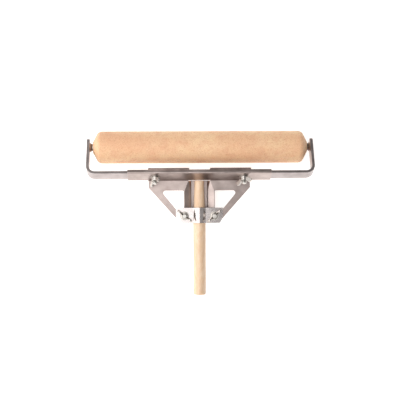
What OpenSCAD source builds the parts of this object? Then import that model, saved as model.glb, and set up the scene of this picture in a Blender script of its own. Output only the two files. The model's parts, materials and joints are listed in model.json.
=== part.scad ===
// Adjustable wide brayer: a rubber-covered roller on two pivot pins, carried by two bent flat-bar
// arms that slide in a channel crossbar, with a pressed body plate and a strap that clamps a
// wooden handle. It lies on the roller and the end of the handle, +Z up, roller along X, and the
// origin is under the middle of its box.

/* [Roller] */
// Length of the rubber sleeve
roller_len = 453; // [400:1:460]
// Outside diameter of the rubber sleeve
roller_d = 68; // [60:1:72]
// Axial length of the bevel at each end of the sleeve
bevel_len = 11.5; // [10:0.5:17]
// Radius of the sleeve's end face
bevel_end_r = 12; // [10:0.2:16]
// Radius of the round shoulder between the sleeve and its bevel
shoulder_r = 12; // [4:1:14]
// Outside diameter of the steel core tube
core_d = 48; // [46:1:50]
// Wall thickness of the core tube
core_wall = 3; // [2:0.5:4]
// Radius of the end plug's hub
hub_r = 9; // [8.5:0.5:10]
// Radius of the pivot pin's journal
journal_r = 5; // [4:0.5:6]
// Radial clearance between the journal and its bushing
journal_gap = 0.05; // [0.02:0.01:0.1]

/* [Arms] */
// Width of the flat bar
bar_w = 25.4; // [20:0.2:26]
// Thickness of the flat bar
bar_t = 6; // [4:0.2:6.4]
// Distance between the outer faces of the two legs
legs_span = 479; // [476:1:484]
// From the crossbar's outer face to the roller's axis
axle_reach = 71; // [66:1:80]
// How far a leg runs past the roller's axis
leg_over = 17; // [12:0.5:20]
// Inside radius of the bend
bend_r = 13; // [8:1:18]
// Length of each arm's run, from the outer face of its leg
run_len = 200; // [190:1:205]
// Sideways shift of the roller from the middle of the crossbar
roller_shift = 3; // [0:1:9]

/* [Crossbar] */
// Length of the crossbar
bar_len = 300; // [280:2:310]
// Height of its web
web_h = 35; // [32:1:38]
// Thickness of its sheet
web_t = 1.6; // [1.5:0.1:2.5]
// Distance of each arm bolt from the middle
arm_bolt_x = 93; // [85:1:97]

/* [Body plate] */
// Bend between the arms and the handle, in degrees
droop = 28; // [22:1:32]
// Half width of the plate
plate_half = 107; // [104:1:110]
// Length of the plate along the handle
plate_len = 88.6; // [86:0.2:92]
// Thickness of the plate
plate_t = 2; // [1.5:0.1:2.5]
// Half width of the trough where it is widest
trough_half = 31; // [28:1:32]
// Half width of the trough's floor
floor_half = 16.5; // [15:0.5:17]

/* [Handle] */
// Diameter of the handle
handle_d = 26.5; // [25:0.5:27]
// Length of the handle
handle_len = 242; // [200:1:300]
// Radius of its tapered tip
tip_r = 9.8; // [9:0.2:11]
// Length of the taper
taper_len = 90; // [60:1:95]
// How far the handle's axis lies under the plate's top face
handle_sink = 7; // [6:0.5:9]
// Radius of the rounded rim at its free end
rim_r = 2.5; // [1:0.5:4]

/* [Clamp] */
// Distance of each clamp bolt from the middle
clamp_bolt_x = 31.4; // [30:0.2:33]
// Distance of the clamp bolts along the handle
clamp_bolt_y = 74; // [72:1:76]
// Half length of the strap
strap_half = 49.5; // [48:0.5:51]
// Where the strap starts along the handle
strap_start = 57; // [56:1:59]
// Thickness of the strap
strap_t = 2.5; // [2:0.1:3]

/* [Fasteners] */
// Diameter of the four bolts
bolt_d = 9.4; // [9:0.1:9.5]
// Wingspan of the wing nuts
wing_span = 37; // [32:1:38]
// Height of the wing nuts over their wings
wing_h = 15; // [13:0.5:17]

/* [Hidden] */

$fn = 64;
LEFT = -1;
RIGHT = 1;
gap = 0.3;            // room between pieces that move past each other
eps = 0.01;           // keeps a cut from ending flush
roller_r = roller_d / 2;
roller_half = roller_len / 2;
handle_r = handle_d / 2;
bolt_r = bolt_d / 2;
mid_z = web_h / 2;    // height of the arms, bolts and roller axis over the plate
channel_d = web_t + bar_t + 2 * gap;
flange_top = web_h + 3.6;
flange_in = 21.5;     // half width of the gap between the plate's two flanges
washer_t = 1.6;
washer_r = 9.5;
hub_h = 8;
head_r = 10.5;
head_h = 4.2;
neck_w = 9.4;         // square neck of a carriage bolt
hole_play = 0.4;
bolt_reach = 16.5;    // free length of a bolt past the face that its washer sits on
leg_in = legs_span / 2 - bar_t;
leg_end = axle_reach + leg_over;

// Trough stations along the handle
mouth_half = 23;
mouth_len = 21;
neck_start = 58;
neck_end = 63;
neck_half = 18.4;     // also where the gentle brim meets the steep lower wall
brim_depth = 7;
trough_floor = handle_sink + handle_r + gap;

// Inside the roller, from its middle
core_half = roller_half - 16.5;
plug_len = 14;
hub_end = roller_half - 1.5;
bush_r = 7;
bush_len = 28;
bush_flange_r = 8.5;
bush_flange_t = 1.5;
thrust_t = 1;
thrust_r = 8.5;
boss_face = roller_half + thrust_t + 0.4;
boss_small_r = 7;
boss_big_r = 11.5;
journal_len = 24;
tail_r = 6;

// How it lies: both the roller and the rim of the handle's free end touch the table
axle = [axle_reach, mid_z];
function in_plane(y, z) = [y * cos(droop) - z * sin(droop), y * sin(droop) + z * cos(droop)];
rim_low = in_plane(-(handle_len - rim_r), -handle_sink - handle_r + rim_r);
rim_high = in_plane(-(handle_len - rim_r), -handle_sink + handle_r - rim_r);
lie_dy = axle[0] - rim_low[0];
lie_dz = axle[1] - rim_low[1];
lie = atan2(lie_dz, lie_dy) - asin((roller_r - rim_r) / norm([lie_dy, lie_dz]));
function lain_y(p) = p[0] * cos(lie) + p[1] * sin(lie);
function lain_z(p) = -p[0] * sin(lie) + p[1] * cos(lie);
shift_y = -(lain_y(axle) + roller_r + lain_y(rim_high) - rim_r) / 2;
shift_z = roller_r - lain_z(axle);

// Turns the arms' frame into the frame in which it lies on the table
module lying() {
    translate([0, shift_y, shift_z]) rotate([-lie, 0, 0]) children();
}

// The frame of the crossbar, whose middle is off the roller's middle
module frame() {
    lying() translate([-roller_shift, 0, 0]) children();
}

// The frame of the plate and the handle: Y = 0 at the crossbar, -Y along the handle
module handle_plane() {
    frame() rotate([droop, 0, 0]) children();
}

// Puts a turned shape, drawn along Z, on the roller's axis with its +Z end to the given side
module on_axle(side) {
    lying() translate([0, axle_reach, mid_z]) rotate([0, side * 90, 0]) children();
}

// Puts a bolt's parts, drawn along Z, on the crossbar with +Z towards the handle
module on_web(side) {
    frame() translate([side * arm_bolt_x, 0, mid_z]) rotate([90, 0, 0]) children();
}

// Puts a bolt's parts on the plate's top face
module on_plate(side) {
    handle_plane() translate([side * clamp_bolt_x, -clamp_bolt_y, 0]) children();
}

module mirrored_pair() {
    children();
    mirror([1, 0, 0]) children();
}

module ring(outer, inner, h) {
    difference() {
        cylinder(r = outer, h = h);
        translate([0, 0, -eps]) cylinder(r = inner, h = h + 2 * eps);
    }
}

// ---- Roller ----

// The sleeve's section from its shoulder round to its inside corner, for the upper half
bevel_slope = atan2(roller_r - bevel_end_r, bevel_len);
shoulder_y = roller_half - bevel_len - shoulder_r * tan(bevel_slope / 2);
sleeve_half = concat(
    [for (i = [0:8]) let (a = bevel_slope * i / 8)
        [roller_r - shoulder_r + shoulder_r * cos(a), shoulder_y + shoulder_r * sin(a)]],
    [[bevel_end_r, roller_half], [hub_r, roller_half], [hub_r, core_half],
     [core_d / 2, core_half]]);

module roller_sleeve() {
    last = len(sleeve_half) - 1;
    color([0.95, 0.78, 0.6]) on_axle(RIGHT) rotate_extrude($fn = 128)
        polygon(concat(sleeve_half,
            [for (i = [last:-1:0]) [sleeve_half[i][0], -sleeve_half[i][1]]]));
}

module roller_core() {
    color("gray") on_axle(RIGHT)
        translate([0, 0, -core_half]) ring(core_d / 2, core_d / 2 - core_wall, 2 * core_half);
}

module end_plug(side) {
    color("dimgray") on_axle(side) difference() {
        union() {
            translate([0, 0, core_half - plug_len])
                cylinder(r = core_d / 2 - core_wall, h = plug_len);
            translate([0, 0, core_half - eps]) cylinder(r = hub_r, h = hub_end - core_half);
        }
        translate([0, 0, core_half - plug_len - 1]) cylinder(r = bush_r, h = 60);
    }
}

module bushing(side) {
    color("darkgoldenrod") on_axle(side) difference() {
        union() {
            translate([0, 0, hub_end - bush_len]) cylinder(r = bush_r, h = bush_len + eps);
            translate([0, 0, hub_end]) cylinder(r = bush_flange_r, h = bush_flange_t);
        }
        translate([0, 0, hub_end - bush_len - 1]) cylinder(r = journal_r + journal_gap, h = 40);
    }
}

module thrust_washer(side) {
    color("silver") on_axle(side)
        translate([0, 0, roller_half]) ring(thrust_r, journal_r + journal_gap, thrust_t);
}

// ---- Arms ----

module bar_outline() {
    outer = bend_r + bar_t;
    translate([-run_len, 0]) square([run_len - outer, bar_t]);
    translate([-bar_t, outer]) square([bar_t, leg_end - web_t - gap - outer]);
    translate([-outer, outer]) intersection() {
        difference() {
            circle(r = outer);
            circle(r = bend_r);
        }
        translate([0, -outer]) square(outer);
    }
}

// Side view of a leg, with the two corners at its end rounded
module leg_side() {
    corner = 7;
    square([leg_end - corner, bar_w]);
    translate([0, corner]) square([leg_end, bar_w - 2 * corner]);
    for (z = [corner, bar_w - corner])
        translate([leg_end - corner, z]) circle(r = corner);
}

module arm_slot() {
    slot_r = bolt_r + 0.55;
    for (x = [-run_len + 12, -105]) translate([x, 0, 0]) rotate([-90, 0, 0])
        cylinder(r = slot_r, h = 2 * bar_t, center = true);
    translate([-run_len + 12, -bar_t, -slot_r]) cube([run_len - 117, 2 * bar_t, 2 * slot_r]);
}

module arm(side) {
    low = mid_z - bar_w / 2;
    front = web_t + gap;
    color([0.75, 0.73, 0.72]) lying() mirror([side == LEFT ? 1 : 0, 0, 0])
        translate([legs_span / 2, front, 0]) difference() {
            intersection() {
                translate([0, 0, low]) linear_extrude(bar_w) bar_outline();
                translate([eps, -front, low]) rotate([90, 0, -90]) mirror([1, 0])
                    linear_extrude(run_len + 1) leg_side();
            }
            translate([0, bar_t / 2, mid_z]) arm_slot();
            translate([-bar_t - 1, axle_reach - front, mid_z]) rotate([0, 90, 0])
                cylinder(r = tail_r, h = bar_t + 2);
        }
}

module pivot_pin(side) {
    color("silver") on_axle(side) {
        translate([0, 0, boss_face - journal_len]) cylinder(r = journal_r, h = journal_len + eps);
        translate([0, 0, boss_face - journal_len - 1.2])
            cylinder(r1 = journal_r - 1.2, r2 = journal_r, h = 1.2);
        translate([0, 0, boss_face])
            cylinder(r1 = boss_small_r, r2 = boss_big_r, h = leg_in - boss_face);
        translate([0, 0, leg_in - eps]) cylinder(r = tail_r, h = bar_t + eps);
    }
}

// ---- Crossbar ----

// One quarter of a bent corner of sheet, outer radius r, in the corner at the origin
module sheet_corner(r, t) {
    intersection() {
        translate([r, r]) difference() {
            circle(r = r);
            circle(r = r - t);
        }
        square(r);
    }
}

// Section of the channel: Y across and Z upwards
module channel_section() {
    r = web_t + 0.8;
    translate([0, r]) square([web_t, web_h - 2 * r]);
    for (m = [0, 1]) translate([0, m * web_h]) mirror([0, m]) {
        sheet_corner(r, web_t);
        translate([r, 0]) square([channel_d - r, web_t]);
    }
}

rivet_x = [-78, -45, 45, 78];
rivet_y = 4.6;
rivet_r = 2;

module rivet_holes(play) {
    for (x = rivet_x) translate([x, rivet_y, 0])
        cylinder(r = rivet_r + play, h = 3 * plate_t, center = true);
}

module crossbar() {
    color([0.78, 0.76, 0.76]) frame() difference() {
        translate([-bar_len / 2, 0, 0]) rotate([90, 0, 90])
            linear_extrude(bar_len) channel_section();
        for (x = [-arm_bolt_x, arm_bolt_x]) translate([x, web_t / 2, mid_z]) rotate([90, 0, 0])
            cylinder(r = bolt_r + hole_play, h = 2 * web_t, center = true);
        rivet_holes(0);
    }
}

module rivet_head() {
    cylinder(r1 = 3.4, r2 = 2.4, h = 1.2);
}

module frame_rivets() {
    color("silver") frame() for (x = rivet_x) translate([x, rivet_y, 0]) {
        translate([0, 0, -plate_t]) cylinder(r = rivet_r, h = plate_t + web_t);
        translate([0, 0, web_t - eps]) rivet_head();
        mirror([0, 0, 1]) translate([0, 0, plate_t - eps]) rivet_head();
    }
}

// ---- Body plate ----

// The flat of the plate, seen from above, without its openings
module plate_flat() {
    side_len = 14.6;
    foot_half = 41;
    polygon([[-plate_half, 0], [plate_half, 0], [plate_half, -side_len],
        [foot_half, -plate_len], [-foot_half, -plate_len], [-plate_half, -side_len]]);
}

// A triangular window with round corners, to the right of the trough
module window() {
    top_r = 5;
    foot_r = 3;
    top_x = 71;
    foot_x = 43;
    foot_y = -63;
    hull() {
        for (x = [trough_half + top_r, top_x])
            translate([x, -mouth_len - top_r]) circle(r = top_r, $fn = 32);
        for (x = [trough_half + foot_r, foot_x])
            translate([x, foot_y]) circle(r = foot_r, $fn = 32);
    }
}

module trough_mouth() {
    polygon([[-mouth_half, eps], [mouth_half, eps], [trough_half, -mouth_len],
        [trough_half, -neck_start], [neck_half, -neck_end], [neck_half, -plate_len - 1],
        [-neck_half, -plate_len - 1], [-neck_half, -neck_end], [-trough_half, -neck_start],
        [-trough_half, -mouth_len]]);
}

// Section through the gentle brim of the trough's right wall, X across and Z upwards
module brim_section(top_half) {
    polygon([[neck_half, -brim_depth - plate_t], [neck_half, -brim_depth], [top_half, 0],
        [top_half + plate_t, 0], [top_half + plate_t, -plate_t],
        [neck_half + plate_t, -brim_depth - plate_t]]);
}

// Section through the steep wall between the brim and the trough's floor
module steep_section() {
    polygon([[floor_half, -trough_floor - plate_t], [floor_half, -trough_floor],
        [neck_half, -brim_depth], [neck_half + plate_t, -brim_depth],
        [floor_half + plate_t, -trough_floor - plate_t]]);
}

// Extends a section along the handle
module along_handle(y_from, y_to) {
    translate([0, y_from, 0]) rotate([90, 0, 0]) linear_extrude(y_from - y_to) children();
}

// A brim that changes from one width to another
module brim_change(y_from, half_from, y_to, half_to) {
    hull() {
        along_handle(y_from, y_from - eps) brim_section(half_from);
        along_handle(y_to + eps, y_to) brim_section(half_to);
    }
}

module trough_wall() {
    along_handle(0, -plate_len) steep_section();
    brim_change(0, mouth_half, -mouth_len, trough_half);
    along_handle(-mouth_len, -neck_start) brim_section(trough_half);
    brim_change(-neck_start, trough_half, -neck_end, neck_half);
    along_handle(-neck_end, -plate_len) brim_section(neck_half);
}

module square_hole(w, h) {
    translate([0, 0, h / 2]) cube([w, w, h], center = true);
}

module body_plate() {
    color([0.76, 0.72, 0.7]) {
        handle_plane() difference() {
            union() {
                translate([0, 0, -plate_t]) linear_extrude(plate_t) difference() {
                    plate_flat();
                    trough_mouth();
                    mirrored_pair() window();
                }
                mirrored_pair() trough_wall();
                translate([-floor_half - eps, -plate_len, -trough_floor - plate_t])
                    cube([2 * floor_half + 2 * eps, plate_len, plate_t]);
            }
            for (s = [LEFT, RIGHT]) translate([s * clamp_bolt_x, -clamp_bolt_y, -plate_t - 1])
                square_hole(neck_w + hole_play, plate_t + 2);
        }
        frame() difference() {
            mirrored_pair() {
                translate([mouth_half, 0, -plate_t])
                    cube([plate_half - mouth_half, channel_d + plate_t, plate_t]);
                translate([flange_in, channel_d, -plate_t])
                    cube([plate_half - flange_in, plate_t, flange_top + plate_t]);
            }
            for (s = [LEFT, RIGHT])
                translate([s * arm_bolt_x, channel_d - 1, mid_z]) rotate([-90, 0, 0])
                    square_hole(neck_w + hole_play, plate_t + 2);
            rivet_holes(0);
        }
    }
}

// ---- Handle and clamp ----

module handle() {
    color([0.93, 0.8, 0.62]) handle_plane() translate([0, 0, -handle_sink]) rotate([90, 0, 0])
        rotate_extrude($fn = 96) polygon(concat(
            [[0, 0], [tip_r - 1.5, 0], [tip_r, 1.5], [handle_r, taper_len]],
            [for (i = [0:6]) let (a = 15 * i)
                [handle_r - rim_r + rim_r * cos(a), handle_len - rim_r + rim_r * sin(a)]],
            [[0, handle_len]]));
}

// Section of the strap: X across and Z upwards, the handle's axis below the origin
module strap_section() {
    in_r = handle_r + gap;
    out_r = in_r + strap_t;
    lift = 2 * gap;
    intersection() {
        translate([0, -handle_sink]) difference() {
            circle(r = out_r);
            circle(r = in_r);
        }
        translate([-out_r, lift]) square([2 * out_r, out_r]);
    }
    ear_in = sqrt(pow(in_r, 2) - pow(handle_sink + lift, 2));
    for (m = [0, 1]) mirror([m, 0]) difference() {
        translate([ear_in, lift]) square([strap_half - ear_in, strap_t]);
        translate([0, -handle_sink]) circle(r = in_r);
    }
}

module clamp_strap() {
    chamfer_x = 6.5;
    chamfer_y = 11;
    width = plate_len + 0.7 - strap_start;
    color([0.82, 0.8, 0.8]) handle_plane() difference() {
        translate([0, -strap_start, 0]) rotate([90, 0, 0]) linear_extrude(width) strap_section();
        mirrored_pair() translate([strap_half, -strap_start - width, -1])
            linear_extrude(2 * strap_t + 2)
                polygon([[1, -1], [-chamfer_x, -1], [-chamfer_x, 0], [0, chamfer_y],
                    [1, chamfer_y]]);
        for (s = [LEFT, RIGHT]) translate([s * clamp_bolt_x, -clamp_bolt_y, -1])
            cylinder(r = bolt_r + hole_play, h = 2 * strap_t + 2);
    }
}

// ---- Fasteners ----

// A carriage bolt whose neck fills the sheet under Z = 0 and whose thread reaches above it
module carriage_bolt(sheet, reach) {
    ball_r = (pow(head_r, 2) + pow(head_h, 2)) / (2 * head_h);
    translate([0, 0, -sheet]) rotate([180, 0, 0]) intersection() {
        translate([0, 0, head_h - ball_r]) sphere(r = ball_r, $fn = 96);
        cylinder(r = head_r, h = head_h);
    }
    translate([0, 0, -sheet]) square_hole(neck_w, sheet);
    translate([0, 0, -eps]) cylinder(r = bolt_r, h = reach - 1);
    translate([0, 0, reach - 1 - 2 * eps]) cylinder(r1 = bolt_r, r2 = bolt_r - 1, h = 1);
}

module washer() {
    ring(washer_r, bolt_r + hole_play, washer_t);
}

// One wing, seen from the side, X out from the bolt and Y upwards
module wing_side() {
    lobe_r = 4.6;
    lobe = [wing_span / 2 - lobe_r, wing_h - lobe_r];
    translate(lobe) circle(r = lobe_r);
    polygon([[5.4, 0.6], [7.6, 0.9], [lobe[0] + lobe_r * cos(-35), lobe[1] + lobe_r * sin(-35)],
        [lobe[0] + lobe_r * cos(125), lobe[1] + lobe_r * sin(125)], [5.4, hub_h - 0.4]]);
}

// One wing, whose two faces lean towards each other as on a forging
module wing() {
    root = 2.9;
    edge = 1.3;
    intersection() {
        translate([0, root, 0]) rotate([90, 0, 0]) linear_extrude(2 * root) wing_side();
        rotate([90, 0, 90]) linear_extrude(wing_span)
            polygon([[-root, 0], [root, 0], [edge, wing_h], [-edge, wing_h]]);
    }
}

module wing_nut() {
    difference() {
        union() {
            cylinder(r1 = 8.2, r2 = 6.6, h = hub_h);
            mirrored_pair() wing();
        }
        translate([0, 0, -1]) cylinder(r = bolt_r + gap, h = hub_h + 2);
    }
}

// The plate's bolts reach through the strap as well
strap_top = strap_t + 2 * gap;

module arm_bolt(side) {
    color("lightgray") on_web(side) translate([0, 0, -channel_d])
        carriage_bolt(plate_t, channel_d + bolt_reach);
}

module clamp_bolt(side) {
    color("lightgray") on_plate(side) carriage_bolt(plate_t, strap_top + bolt_reach);
}

module clamp_washer(side) {
    color("silver") on_plate(side) translate([0, 0, strap_top]) washer();
}

module clamp_wing_nut(side) {
    turn = side == LEFT ? -38 : 42;
    color("gainsboro") on_plate(side) translate([0, 0, strap_top + washer_t + gap])
        rotate([0, 0, turn]) wing_nut();
}

module arm_washer(side) {
    color("silver") on_web(side) translate([0, 0, gap]) washer();
}

module arm_wing_nut(side) {
    turn = side == LEFT ? 62 : 38;
    color("gainsboro") on_web(side) translate([0, 0, washer_t + 2 * gap])
        rotate([0, 0, turn]) wing_nut();
}

body_plate();
crossbar();
frame_rivets();
arm_bolt(LEFT);  // arm_bolt_left
arm_bolt(RIGHT);  // arm_bolt_right
clamp_bolt(LEFT);  // clamp_bolt_left
clamp_bolt(RIGHT);  // clamp_bolt_right
arm(LEFT);  // arm_left
arm(RIGHT);  // arm_right
pivot_pin(LEFT);  // pivot_pin_left
pivot_pin(RIGHT);  // pivot_pin_right
roller_sleeve();
roller_core();
end_plug(LEFT);  // end_plug_left
end_plug(RIGHT);  // end_plug_right
bushing(LEFT);  // bushing_left
bushing(RIGHT);  // bushing_right
thrust_washer(LEFT);  // thrust_washer_left
thrust_washer(RIGHT);  // thrust_washer_right
clamp_strap();
clamp_washer(LEFT);  // clamp_washer_left
clamp_washer(RIGHT);  // clamp_washer_right
clamp_wing_nut(LEFT);  // clamp_wing_nut_left
clamp_wing_nut(RIGHT);  // clamp_wing_nut_right
arm_washer(LEFT);  // arm_washer_left
arm_washer(RIGHT);  // arm_washer_right
arm_wing_nut(LEFT);  // arm_wing_nut_left
arm_wing_nut(RIGHT);  // arm_wing_nut_right
handle();
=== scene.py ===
"""Looks of the wide rubber brayer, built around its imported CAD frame."""

from contextlib import contextmanager
import json
import math

import bmesh
import bpy
from mathutils import Matrix, Vector


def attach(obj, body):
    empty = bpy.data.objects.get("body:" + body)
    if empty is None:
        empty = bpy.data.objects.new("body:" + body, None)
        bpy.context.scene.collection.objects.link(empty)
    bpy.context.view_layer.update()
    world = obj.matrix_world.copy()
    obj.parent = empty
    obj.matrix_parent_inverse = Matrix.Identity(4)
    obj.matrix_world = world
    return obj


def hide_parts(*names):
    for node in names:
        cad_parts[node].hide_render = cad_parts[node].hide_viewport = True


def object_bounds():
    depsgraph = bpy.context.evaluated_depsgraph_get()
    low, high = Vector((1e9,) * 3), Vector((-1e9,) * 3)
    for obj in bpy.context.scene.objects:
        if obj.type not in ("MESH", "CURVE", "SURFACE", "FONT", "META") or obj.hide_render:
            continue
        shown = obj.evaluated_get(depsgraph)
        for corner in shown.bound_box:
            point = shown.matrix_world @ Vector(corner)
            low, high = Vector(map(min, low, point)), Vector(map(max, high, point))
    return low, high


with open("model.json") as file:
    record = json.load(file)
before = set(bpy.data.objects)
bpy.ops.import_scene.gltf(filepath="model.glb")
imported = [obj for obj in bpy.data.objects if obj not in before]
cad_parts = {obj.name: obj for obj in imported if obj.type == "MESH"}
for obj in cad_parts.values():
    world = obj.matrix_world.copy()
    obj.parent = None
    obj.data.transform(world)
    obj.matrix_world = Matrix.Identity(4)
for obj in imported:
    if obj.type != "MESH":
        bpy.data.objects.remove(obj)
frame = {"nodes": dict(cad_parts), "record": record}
cad_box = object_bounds()
scene = bpy.context.scene
scene.view_settings.view_transform = "Standard"

MM = 0.001
NODES = frame["nodes"]
JOINTS = {j["name"]: j for j in frame["record"]["behaviour"]["joints"]}
BODY_OF = {n: b for b, ns in frame["record"]["behaviour"]["bodies"].items() for n in ns}
SLOT_OF = {s["node"]: s["material_slot"] for s in frame["record"]["subparts"]}
SIDES = ("left", "right")

# The colour sockets of a Mix node, and the rays of a Bevel or Ambient Occlusion node.
MIX_A, MIX_B, MIX_RESULT = 6, 7, 2
NODE_RAYS = 6

# The dot product of a rounded normal and the real one: on a flat, and at an edge.
FLAT_DOT, EDGE_DOT = 0.995, 0.85

# Redrawn pieces.
EDGE_ROUND = 0.45 * MM
ROUND_ABOVE = 35
SHEET_WELD = 0.06 * MM
CAST_VOXEL = 0.35 * MM

# Bolts: a 3/8 inch carriage bolt with 16 threads an inch.
PITCH = 25.4 / 16 * MM
BOLT_R = 4.7 * MM
ROOT_R = 3.8 * MM
FLANK_SLOPE = 2.3
ROOT_FLAT = 0.35
POINT = 1.2 * MM
POINT_SLOPE = 1.1
HEAD_R = 10.5 * MM
HEAD_H = 4.2 * MM
HEAD_STEPS = 48
DOME_STEPS = 8
NECK_W = 9.4 * MM
PLATE_T = 2 * MM
OVERLAP = 0.2 * MM
STEPS_ROUND = 36
STEPS_A_TURN = 8


# ---- Node helpers ----


class Tree:
    """A material's or world's node tree, with short calls for the nodes used here."""

    def __init__(self, tree):
        self.tree = tree
        tree.nodes.clear()

    def node(self, kind, inputs=None, **settings):
        made = self.tree.nodes.new(kind)
        for name, value in settings.items():
            setattr(made, name, value)
        for name, value in (inputs or {}).items():
            self.put(made.inputs[name], value)
        return made

    def put(self, socket, value):
        if isinstance(value, bpy.types.NodeSocket):
            self.tree.links.new(value, socket)
        else:
            socket.default_value = value

    def math(self, operation, a, b):
        return self.node("ShaderNodeMath", {0: a, 1: b}, operation=operation).outputs[0]

    def remap(self, value, low, high, to_low=0.0, to_high=1.0):
        made = self.node("ShaderNodeMapRange", {"Value": value, "From Min": low, "From Max": high,
                                                "To Min": to_low, "To Max": to_high})
        return made.outputs["Result"]

    def noise(self, vector, scale, detail=4.0, roughness=0.55):
        made = self.node("ShaderNodeTexNoise", {"Vector": vector, "Scale": scale,
                                                "Detail": detail, "Roughness": roughness})
        return made.outputs["Fac"]

    def mix(self, fac, a, b):
        made = self.node("ShaderNodeMix", data_type="RGBA")
        self.put(made.inputs["Factor"], fac)
        self.put(made.inputs[MIX_A], a)
        self.put(made.inputs[MIX_B], b)
        return made.outputs[MIX_RESULT]

    def stretch(self, vector, scale=(1, 1, 1), rotation=(0, 0, 0), location=(0, 0, 0)):
        made = self.node("ShaderNodeMapping", {"Vector": vector, "Scale": scale,
                                               "Rotation": rotation, "Location": location})
        return made.outputs["Vector"]

    def split(self, vector):
        return self.node("ShaderNodeSeparateXYZ", {"Vector": vector}).outputs

    def bump(self, height, distance, strength):
        return self.node("ShaderNodeBump", {"Height": height, "Distance": distance,
                                            "Strength": strength}).outputs["Normal"]

    def edge_mask(self, radius):
        """1 near a sharp edge and 0 away from one."""
        rounded = self.node("ShaderNodeBevel", {"Radius": radius}, samples=NODE_RAYS)
        flat_normal = self.node("ShaderNodeNewGeometry").outputs["Normal"]
        dot = self.node("ShaderNodeVectorMath", {0: rounded.outputs[0], 1: flat_normal},
                        operation="DOT_PRODUCT").outputs["Value"]
        return self.remap(dot, FLAT_DOT, EDGE_DOT)


def srgb(r, g, b):
    """A colour given as 0 to 255 steps on a screen, as linear values."""
    def linear(v):
        v /= 255
        return v / 12.92 if v <= 0.04045 else ((v + 0.055) / 1.055) ** 2.4
    return (linear(r), linear(g), linear(b), 1.0)


def new_material(name, fill):
    """Makes a material whose fill function sets up its Principled shader."""
    material = bpy.data.materials.new(name)
    material.use_nodes = True
    tree = Tree(material.node_tree)
    shader = tree.node("ShaderNodeBsdfPrincipled")
    out = tree.node("ShaderNodeOutputMaterial")
    tree.put(out.inputs["Surface"], shader.outputs[0])
    fill(tree, shader.inputs, tree.node("ShaderNodeTexCoord").outputs["Object"])
    return material


# ---- Materials ----


def gum_rubber(t, shader, place):
    """Tan gum rubber: soft blotches, fine dark and light specks, ground surface."""
    blotch = t.noise(place, 60, 3, 0.6)
    cloud = t.noise(t.stretch(place, (0.5, 1, 1)), 22, 2)
    crumb = t.noise(place, 330, 3, 0.75)
    speck = t.noise(place, 900, 2, 0.7)
    grain = t.noise(place, 2600, 2)
    colour = t.mix(t.remap(cloud, 0.35, 0.65), srgb(238, 190, 150), srgb(246, 209, 167))
    colour = t.mix(t.remap(blotch, 0.45, 0.7, 0, 0.6), colour, srgb(230, 174, 138))
    colour = t.mix(t.remap(crumb, 0.5, 0.66, 0, 0.5), colour, srgb(212, 150, 112))
    colour = t.mix(t.remap(speck, 0.57, 0.7, 0, 0.6), colour, srgb(176, 116, 84))
    colour = t.mix(t.remap(speck, 0.38, 0.28, 0, 0.5), colour, srgb(253, 230, 196))
    wear = t.edge_mask(3 * MM)
    colour = t.mix(t.math("MULTIPLY", wear, 0.3), colour, srgb(214, 158, 122))
    t.put(shader["Base Color"], colour)
    t.put(shader["Roughness"], t.remap(blotch, 0.3, 0.7, 0.5, 0.66))
    shader["Specular IOR Level"].default_value = 0.4
    shader["Subsurface Weight"].default_value = 0.12
    shader["Subsurface Radius"].default_value = (0.004, 0.002, 0.001)
    height = t.math("ADD", t.math("MULTIPLY", grain, 0.6), speck)
    t.put(shader["Normal"], t.bump(height, 0.12 * MM, 0.55))


def handle_wood(t, shader, place):
    """Pale turned hardwood under a clear coat, with its grain along the handle."""
    along = Vector(JOINTS["handle_slide"]["axis"])
    tilt = math.atan2(-along.z, -along.y)
    local = t.stretch(place, rotation=(tilt, 0, 0))
    fibre = t.noise(t.stretch(local, (1, 0.03, 1)), 900, 5, 0.6)
    band = t.noise(t.stretch(local, (1, 0.05, 1), location=(0.02, 0, 0.01)), 130, 3)
    rings = t.node("ShaderNodeTexWave", {"Vector": t.stretch(local, (1, 0.02, 1)), "Scale": 60.0,
                                         "Distortion": 5.0, "Detail": 3.0, "Detail Scale": 1.5},
                   wave_type="RINGS", rings_direction="Y").outputs["Fac"]
    pores = t.noise(t.stretch(local, (1, 0.012, 1)), 2300, 2, 0.8)
    colour = t.mix(t.remap(band, 0.3, 0.7), srgb(226, 191, 158), srgb(243, 217, 188))
    colour = t.mix(t.remap(rings, 0.3, 1.0, 0, 0.35), colour, srgb(232, 194, 150))
    colour = t.mix(t.remap(fibre, 0.45, 0.7, 0, 0.5), colour, srgb(214, 170, 130))
    colour = t.mix(t.remap(pores, 0.64, 0.78, 0, 0.5), colour, srgb(184, 134, 92))
    t.put(shader["Base Color"], colour)
    t.put(shader["Roughness"], t.remap(fibre, 0.3, 0.7, 0.36, 0.52))
    shader["Coat Weight"].default_value = 0.35
    shader["Coat Roughness"].default_value = 0.28
    t.put(shader["Normal"], t.bump(t.math("ADD", fibre, pores), 0.08 * MM, 0.5))


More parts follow.
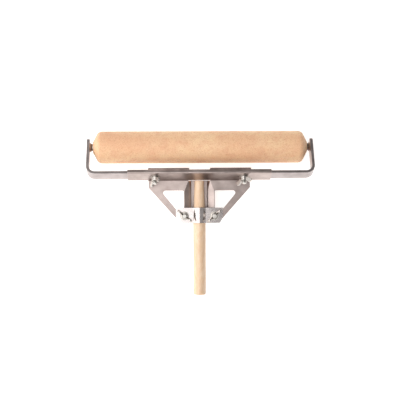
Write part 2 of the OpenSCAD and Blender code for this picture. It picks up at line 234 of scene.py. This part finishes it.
def zinc_sheet(base, grain_axis, roughness):
    """Zinc-plated steel with a rolled grain along one axis, faint spangle, and a painted
    highlight along its edges.
    """
    def fill(t, shader, place):
        squeeze = [1.0, 1.0, 1.0]
        squeeze[grain_axis] = 0.015
        grain = t.noise(t.stretch(place, squeeze), 1500, 4, 0.6)
        streak = t.noise(t.stretch(place, squeeze), 260, 3, 0.6)
        cloud = t.noise(place, 38, 3)
        scratch = t.noise(t.stretch(place, (0.05, 1, 1), rotation=(0, 0, 0.6)), 1100, 2, 0.9)
        # Painted highlight: the edge mask lightens the colour towards pale grey along sharp
        # edges, where a rounded edge would catch the light.
        edge = t.edge_mask(0.8 * MM)
        light = srgb(*[min(255, c + 14) for c in base])
        dark = srgb(*[c - 22 for c in base])
        colour = t.mix(t.remap(cloud, 0.3, 0.7), dark, light)
        colour = t.mix(t.remap(streak, 0.4, 0.7, 0, 0.4), colour, srgb(*[c - 8 for c in base]))
        colour = t.mix(t.math("MULTIPLY", edge, 0.6), colour, srgb(236, 234, 232))
        shader["Metallic"].default_value = 1.0
        t.put(shader["Base Color"], colour)
        rough = t.remap(t.math("ADD", t.math("MULTIPLY", grain, 0.5), cloud), 0.4, 1.1,
                        roughness - 0.07, roughness + 0.09)
        t.put(shader["Roughness"], rough)
        height = t.math("ADD", grain, t.remap(scratch, 0.68, 0.8, 0, -0.6))
        t.put(shader["Normal"], t.bump(height, 0.02 * MM, 0.6))
    return fill


def bright_metal(base, roughness, lumps):
    """Bright plated metal, with the faint lumps of a casting and painted shade in its corners."""
    def fill(t, shader, place):
        lump = t.noise(place, 320, 3)
        fine = t.noise(place, 1500, 2)
        # Painted shade: where the ambient occlusion finds the surface closed in, the colour is
        # darkened towards dark grey.
        openness = t.node("ShaderNodeAmbientOcclusion", {"Distance": 3 * MM}, samples=NODE_RAYS)
        painted_corner_shade = t.remap(openness.outputs["AO"], 0.75, 0.25, 0, 0.75)
        colour = t.mix(t.remap(lump, 0.3, 0.7), srgb(*base), srgb(*[c - 16 for c in base]))
        colour = t.mix(painted_corner_shade, colour, srgb(104, 98, 92))
        shader["Metallic"].default_value = 1.0
        t.put(shader["Base Color"], colour)
        t.put(shader["Roughness"], t.remap(fine, 0.3, 0.7, roughness - 0.05, roughness + 0.07))
        t.put(shader["Normal"], t.bump(t.math("ADD", lump, t.math("MULTIPLY", fine, 0.3)),
                                       lumps * MM, 0.6))
    return fill


def sintered_bronze(t, shader, place):
    """Matt brown bronze with the fine specks of pressed powder."""
    speck = t.noise(place, 1800, 2)
    shader["Metallic"].default_value = 1.0
    t.put(shader["Base Color"], t.mix(t.remap(speck, 0.4, 0.65), srgb(150, 108, 58),
                                      srgb(196, 150, 92)))
    shader["Roughness"].default_value = 0.42
    t.put(shader["Normal"], t.bump(speck, 0.05 * MM, 0.5))


MATERIALS = {
    "gum_rubber": new_material("gum_rubber", gum_rubber),
    "wood": new_material("handle_wood", handle_wood),
    "sheet_steel": new_material("sheet_steel", zinc_sheet((180, 166, 161), 0, 0.34)),
    "bar_steel": new_material("bar_steel", zinc_sheet((178, 168, 166), 0, 0.32)),
    "strap_steel": new_material("strap_steel", zinc_sheet((216, 208, 206), 0, 0.17)),
    "core_steel": new_material("core_steel", bright_metal((150, 150, 152), 0.4, 0.03)),
    "bolt_steel": new_material("bolt_steel", bright_metal((214, 210, 204), 0.3, 0.02)),
    "nut_zinc": new_material("nut_zinc", bright_metal((204, 198, 192), 0.12, 0.06)),
    "bronze": new_material("sintered_bronze", sintered_bronze),
}


def paint(obj, slot):
    """Gives a piece one material."""
    obj.data.materials.clear()
    obj.data.materials.append(MATERIALS[slot])


# ---- Pieces made from the CAD solids ----


@contextmanager
def editing(mesh_data):
    """A mesh opened as a bmesh, and written back at the end."""
    mesh = bmesh.new()
    mesh.from_mesh(mesh_data)
    yield mesh
    mesh.to_mesh(mesh_data)
    mesh.free()


def stand_for(piece, node):
    """Puts a piece on its CAD node's body, in the node's place, and hides the node."""
    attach(piece, BODY_OF[node])
    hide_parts(node)


def copy_of(node, name):
    """A new piece with a CAD node's mesh, welded, that stands for the node."""
    piece = bpy.data.objects.new(name, NODES[node].data.copy())
    scene.collection.objects.link(piece)
    with editing(piece.data) as mesh:
        bmesh.ops.remove_doubles(mesh, verts=mesh.verts, dist=0.001 * MM)
    stand_for(piece, node)
    return piece


def apply_modifiers(piece):
    """Turns what a piece's modifiers make into its own mesh."""
    depsgraph = bpy.context.evaluated_depsgraph_get()
    final = bpy.data.meshes.new_from_object(piece.evaluated_get(depsgraph))
    piece.modifiers.clear()
    piece.data = final


def drop_slivers(mesh_data):
    """Merges what a clamped bevel or a union leaves on top of itself."""
    with editing(mesh_data) as mesh:
        bmesh.ops.remove_doubles(mesh, verts=mesh.verts, dist=0.004 * MM)
        bmesh.ops.dissolve_degenerate(mesh, edges=mesh.edges, dist=0.002 * MM)


def keep_largest_shell(mesh_data):
    """Deletes the small shells that a voxel grid can leave beside the solid."""
    with editing(mesh_data) as mesh:
        unseen = set(mesh.verts)
        shells = []
        while unseen:
            shell, front = set(), [next(iter(unseen))]
            while front:
                vert = front.pop()
                if vert in unseen:
                    unseen.remove(vert)
                    shell.add(vert)
                    front.extend(edge.other_vert(vert) for edge in vert.link_edges)
            shells.append(shell)
        shells.sort(key=len)
        for shell in shells[:-1]:
            bmesh.ops.delete(mesh, geom=list(shell), context="VERTS")


def smooth_by_angle(mesh_data, limit):
    """Smooth shading, apart from edges sharper than the limit in degrees."""
    mesh_data.polygons.foreach_set("use_smooth", [True] * len(mesh_data.polygons))
    with editing(mesh_data) as mesh:
        for edge in mesh.edges:
            edge.smooth = (len(edge.link_faces) == 2
                           and edge.calc_face_angle(0) < math.radians(limit))


def softened(node, smooth_below=40):
    """The CAD solid with its sharp edges rounded, where its mesh leaves them the room."""
    piece = copy_of(node, node + "_softened")
    with editing(piece.data) as mesh:
        bmesh.ops.remove_doubles(mesh, verts=mesh.verts, dist=SHEET_WELD)
        bmesh.ops.dissolve_limit(mesh, angle_limit=math.radians(0.5), verts=mesh.verts,
                                 edges=mesh.edges)
    bevel = piece.modifiers.new("edges", "BEVEL")
    bevel.width = EDGE_ROUND
    bevel.segments = 2
    bevel.limit_method = "ANGLE"
    bevel.angle_limit = math.radians(ROUND_ABOVE)
    bevel.use_clamp_overlap = True
    apply_modifiers(piece)
    drop_slivers(piece.data)
    smooth_by_angle(piece.data, smooth_below)
    flats = piece.modifiers.new("flats", "WEIGHTED_NORMAL")
    flats.keep_sharp = True
    flats.weight = 100
    apply_modifiers(piece)
    paint(piece, SLOT_OF[node])
    return piece


def cast(node):
    """The CAD solid with the soft fillets of a casting."""
    piece = copy_of(node, node + "_cast")
    remesh = piece.modifiers.new("voxels", "REMESH")
    remesh.mode = "VOXEL"
    remesh.voxel_size = CAST_VOXEL
    remesh.use_smooth_shade = True
    smooth = piece.modifiers.new("fillets", "SMOOTH")
    smooth.factor = 0.5
    smooth.iterations = 3
    apply_modifiers(piece)
    keep_largest_shell(piece.data)
    piece.data.polygons.foreach_set("use_smooth", [True] * len(piece.data.polygons))
    paint(piece, SLOT_OF[node])


for node in NODES:
    paint(NODES[node], SLOT_OF[node])

softened("body_plate", smooth_below=18)
for node in ("crossbar", "arm_left", "arm_right"):
    softened(node)
strap = softened("clamp_strap")
strap.data.materials[0] = MATERIALS["strap_steel"]

for side in SIDES:
    cast(f"clamp_wing_nut_{side}")
    cast(f"arm_wing_nut_{side}")


# ---- Bolts with real threads ----


def lathe(mesh, profile, steps):
    """Turns a profile of (radius, height) points about Z; its ends lie on the axis."""
    rings = []
    for radius, height in profile:
        if radius == 0:
            rings.append([mesh.verts.new((0, 0, height))])
            continue
        turns = (2 * math.pi * k / steps for k in range(steps))
        rings.append([mesh.verts.new((radius * math.cos(a), radius * math.sin(a), height))
                      for a in turns])
    join_rings(mesh, rings)


def join_rings(mesh, rings):
    """Faces between rings of points; a ring of one point closes an end."""
    for low, high in zip(rings, rings[1:]):
        steps = max(len(low), len(high))
        for k in range(steps):
            corners = [low[k % len(low)], low[(k + 1) % len(low)],
                       high[(k + 1) % len(high)], high[k % len(high)]]
            mesh.faces.new(list(dict.fromkeys(corners)))


def thread_radius(height, turn, top):
    """Radius of a 60 degree thread with flat crests, which fades out at the bolt's point."""
    phase = (height / PITCH - turn) % 1
    crest = min(1, max(0, FLANK_SLOPE * (1 - abs(2 * phase - 1)) - ROOT_FLAT))
    full = ROOT_R + (BOLT_R - ROOT_R) * crest
    chamfer = BOLT_R - POINT_SLOPE * max(0, height - (top - POINT))
    return min(full, chamfer)


def threaded_rod(mesh, bottom, top):
    """A closed rod whose rows of points follow the thread."""
    rows = int((top - bottom) / PITCH * STEPS_A_TURN)
    rings = [[mesh.verts.new((0, 0, bottom))]]
    for row in range(rows + 1):
        height = bottom + (top - bottom) * row / rows
        ring = []
        for k in range(STEPS_ROUND):
            radius = thread_radius(height, k / STEPS_ROUND, top)
            angle = 2 * math.pi * k / STEPS_ROUND
            ring.append(mesh.verts.new((radius * math.cos(angle), radius * math.sin(angle),
                                        height)))
        rings.append(ring)
    rings.append([mesh.verts.new((0, 0, top))])
    join_rings(mesh, rings)


def square_neck(mesh, bottom, top):
    """The square part that keeps the bolt from turning in the plate."""
    made = bmesh.ops.create_cube(mesh, size=1)["verts"]
    for vert in made:
        vert.co.x *= NECK_W
        vert.co.y *= NECK_W
        vert.co.z = bottom if vert.co.z < 0 else top
    sides = [e for e in {e for v in made for e in v.link_edges}
             if abs(e.verts[0].co.z - e.verts[1].co.z) > MM / 2]
    bmesh.ops.bevel(mesh, geom=sides, offset=0.5 * MM, segments=2, affect="EDGES")


def head_profile(seat):
    """The low dome of a carriage bolt's head, under its seat."""
    ball = (HEAD_R ** 2 + HEAD_H ** 2) / (2 * HEAD_H)
    widest = math.asin(HEAD_R / ball)
    angles = [widest * k / DOME_STEPS for k in range(DOME_STEPS)]
    dome = [(ball * math.sin(a), seat - HEAD_H + ball * (1 - math.cos(a))) for a in angles]
    rim = [(HEAD_R - 0.1 * MM, seat - 0.45 * MM), (HEAD_R - 0.3 * MM, seat - 0.15 * MM),
           (HEAD_R - 0.7 * MM, seat)]
    return dome + rim + [(0, seat)]


def carriage_bolt(node, turn_joint):
    """A carriage bolt on its nut's axis, as long as its CAD node."""
    joint = JOINTS[turn_joint]
    axis = Vector(joint["axis"]).normalized()
    foot = Vector(joint["pos_m"])
    reach = [(v.co - foot).dot(axis) for v in NODES[node].data.vertices]
    head_end, point_end = min(reach), max(reach)
    seat = head_end + HEAD_H
    place = Matrix.Translation(foot) @ axis.to_track_quat("Z", "X").to_matrix().to_4x4()
    shells = []
    for build, *sizes in ((lathe, head_profile(seat), HEAD_STEPS),
                          (square_neck, seat - OVERLAP, seat + PLATE_T),
                          (threaded_rod, seat + PLATE_T - OVERLAP, point_end)):
        mesh = bmesh.new()
        build(mesh, *sizes)
        bmesh.ops.recalc_face_normals(mesh, faces=mesh.faces)
        mesh.transform(place)
        shells.append(bpy.data.objects.new(node + "_threaded", bpy.data.meshes.new(node)))
        mesh.to_mesh(shells[-1].data)
        mesh.free()
        scene.collection.objects.link(shells[-1])
    piece = shells[0]
    for other in shells[1:]:
        union = piece.modifiers.new("union", "BOOLEAN")
        union.operation = "UNION"
        union.solver = "EXACT"
        union.object = other
    apply_modifiers(piece)
    for other in shells[1:]:
        bpy.data.objects.remove(other)
    drop_slivers(piece.data)
    smooth_by_angle(piece.data, 32)
    stand_for(piece, node)
    paint(piece, SLOT_OF[node])


for side in SIDES:
    carriage_bolt(f"arm_bolt_{side}", f"arm_nut_{side}_turn")
    carriage_bolt(f"clamp_bolt_{side}", f"clamp_nut_{side}_turn")


# ---- Camera, floor and light ----


def add_camera(centre):
    """Nearly straight above, a little to the left and to the handle's side."""
    tilt = (math.radians(3.9), math.radians(-2.0), math.radians(-0.5))
    distance = 1.9
    turn = Matrix.Rotation(tilt[2], 3, "Z") @ Matrix.Rotation(tilt[1], 3, "Y")
    turn = turn @ Matrix.Rotation(tilt[0], 3, "X")
    camera = bpy.data.objects.new("camera", bpy.data.cameras.new("camera"))
    camera.data.sensor_width = 36
    camera.data.lens = 80.6
    camera.data.clip_end = 20
    camera.location = centre + turn @ Vector((0, 0, distance))
    camera.rotation_euler = turn.to_euler()
    scene.collection.objects.link(camera)
    scene.camera = camera


def add_floor():
    """A plain pale floor that glows a little, as a lit backdrop does."""
    mesh = bmesh.new()
    bmesh.ops.create_grid(mesh, x_segments=1, y_segments=1, size=6)
    floor = bpy.data.objects.new("floor", bpy.data.meshes.new("floor"))
    mesh.to_mesh(floor.data)
    mesh.free()
    floor.location.z = cad_box[0][2] - 0.2 * MM
    scene.collection.objects.link(floor)
    material = bpy.data.materials.new("pale_floor")
    material.use_nodes = True
    t = Tree(material.node_tree)
    paper = t.node("ShaderNodeBsdfDiffuse", {"Color": (0.93, 0.925, 0.92, 1)})
    glow = t.node("ShaderNodeEmission", {"Color": (1, 1, 0.99, 1), "Strength": 0.62})
    lit = t.node("ShaderNodeAddShader", {0: paper.outputs[0], 1: glow.outputs[0]})
    out = t.node("ShaderNodeOutputMaterial")
    t.put(out.inputs["Surface"], lit.outputs[0])
    floor.data.materials.append(material)


def add_light(name, place, target, size, power):
    """A soft rectangular lamp that faces a target."""
    light = bpy.data.lights.new(name, "AREA")
    light.shape = "RECTANGLE"
    light.size, light.size_y = size
    light.energy = power
    lamp = bpy.data.objects.new(name, light)
    lamp.location = place
    lamp.rotation_euler = (Vector(target) - Vector(place)).to_track_quat("-Z", "Y").to_euler()
    scene.collection.objects.link(lamp)


def set_world():
    """Soft light all round, brighter from the left and a little dimmer from behind the
    roller. Where the camera sees past the floor, it sees plain pale backdrop."""
    world = bpy.data.worlds.new("studio")
    world.use_nodes = True
    scene.world = world
    t = Tree(world.node_tree)
    x, y, _ = t.split(t.node("ShaderNodeTexCoord").outputs["Generated"])
    strength = t.math("ADD", t.remap(x, -0.35, 0.1, 1.15, 0.4), t.remap(y, 0.25, 0.65, 0, -0.2))
    backdrop = t.node("ShaderNodeLightPath").outputs["Is Camera Ray"]
    strength = t.math("MAXIMUM", strength, backdrop)
    back = t.node("ShaderNodeBackground", {"Color": (1, 0.985, 0.975, 1), "Strength": strength})
    out = t.node("ShaderNodeOutputWorld")
    t.put(out.inputs["Surface"], back.outputs[0])


add_camera(Vector((-0.0013, 0.0273, 0.03)))
add_floor()
set_world()
add_light("softbox", (-0.61, -0.25, 1.05), (-0.61, -0.25, 0), (1.3, 1.7), 9)
add_light("side_panel", (-1.5, -0.1, 0.6), (0, 0, 0.05), (1.2, 1.0), 3)
